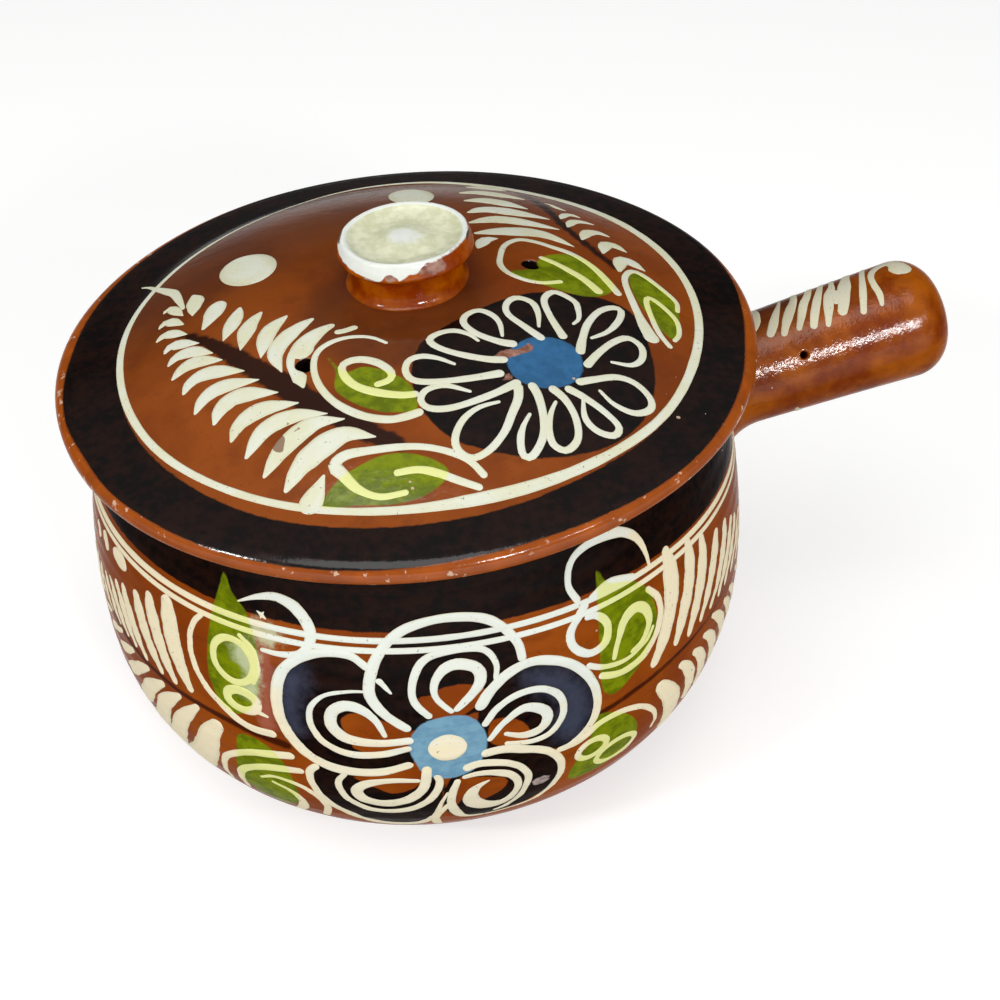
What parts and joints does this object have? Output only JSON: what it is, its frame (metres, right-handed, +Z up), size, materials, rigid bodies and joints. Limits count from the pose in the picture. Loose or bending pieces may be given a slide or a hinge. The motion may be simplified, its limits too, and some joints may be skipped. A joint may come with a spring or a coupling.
{
  "type": "lidded stick-handled pot",
  "caption": "Bellied earthenware pot with a hollow stick handle and a loose domed lid with a dished knob and steam vents, painted with slip flowers and fern fronds.",
  "frame": {"origin": "centre of the flat base, on the surface that the pot stands on", "axes": "+Z up, +X along the handle, away from the bowl"},
  "size_m": [0.2692, 0.2, 0.158],
  "materials": {
    "bowl_glaze": "clear lead-type glaze over terracotta clay and painted slip",
    "handle_glaze": "clear glaze over terracotta clay, thicker and glossier than on the bowl",
    "lid_glaze": "clear glaze over terracotta clay and painted slip, bare clay along the lip",
    "knob_glaze": "cream slip in the dish, amber glaze on the stem"
  },
  "bodies": {
    "pot": {"bowl": "bowl_glaze", "handle": "handle_glaze"},
    "cover": {"lid": "lid_glaze", "lid_knob": "knob_glaze"}
  },
  "joints": [
    {"name": "lid_lift", "type": "slide", "parent": "pot", "child": "cover", "axis": [0, 0, 1], "range_m": [0, 0.09]}
  ]
}
